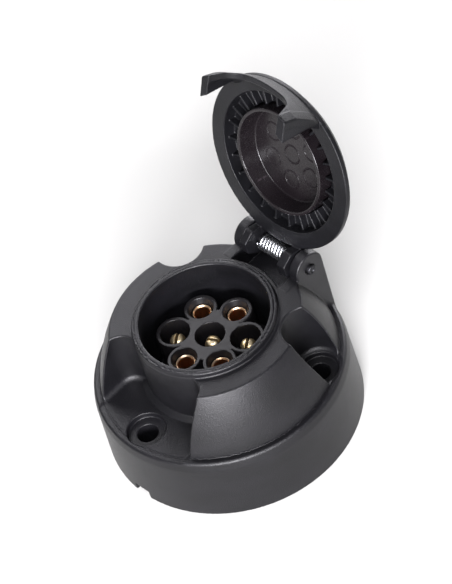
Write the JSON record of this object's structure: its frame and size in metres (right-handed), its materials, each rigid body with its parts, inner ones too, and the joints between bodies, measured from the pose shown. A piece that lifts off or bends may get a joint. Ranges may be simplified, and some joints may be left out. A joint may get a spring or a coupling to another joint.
{
  "type": "trailer wiring connector",
  "caption": "Round flange-mounted trailer socket in black plastic, with brass pin and tube contacts in a round mouth and a sprung hinged lid standing open.",
  "frame": {"origin": "middle of the part's footprint on its mounting face, with the lid open; the socket's own axis is 7.12 mm from it towards -Y", "axes": "+Z out of the socket's mouth, +Y towards the hinge, +X along the hinge axis"},
  "size_m": [0.0828, 0.0968, 0.1112],
  "materials": {
    "housing_plastic": "fine-textured black moulded plastic, soft sheen on the rounded edges",
    "insert_plastic": "smooth dark grey moulded plastic",
    "lid_plastic": "fine-textured black moulded plastic",
    "cup_plastic": "smooth black moulded plastic with a warm tone",
    "contact_brass": "turned brass, bright at the edges",
    "spring_zinc": "bright zinc-plated spring wire",
    "pin_steel": "dark plated steel",
    "screw_steel": "zinc-plated steel"
  },
  "bodies": {
    "socket": {"housing": "housing_plastic", "contact_insert": "insert_plastic", "contact_pin_centre": "contact_brass", "terminal_screw_1": "screw_steel", "contact_pin_1": "contact_brass", "terminal_screw_2": "screw_steel", "contact_tube_1": "contact_brass", "terminal_screw_3": "screw_steel", "contact_tube_2": "contact_brass", "terminal_screw_4": "screw_steel", "contact_pin_2": "contact_brass", "terminal_screw_5": "screw_steel", "contact_tube_3": "contact_brass", "terminal_screw_6": "screw_steel", "contact_tube_4": "contact_brass", "terminal_screw_7": "screw_steel", "insert_screw_1": "screw_steel", "insert_screw_2": "screw_steel", "hinge_pin": "pin_steel", "lid_spring": "spring_zinc"},
    "lid": {"lid": "lid_plastic", "lid_cup": "cup_plastic"}
  },
  "joints": [
    {"name": "lid_hinge", "type": "hinge", "parent": "socket", "child": "lid", "pos_m": [0, 0.02588, 0.0448], "axis": [1, 0, 0], "range_deg": [0, 106.7]}
  ]
}
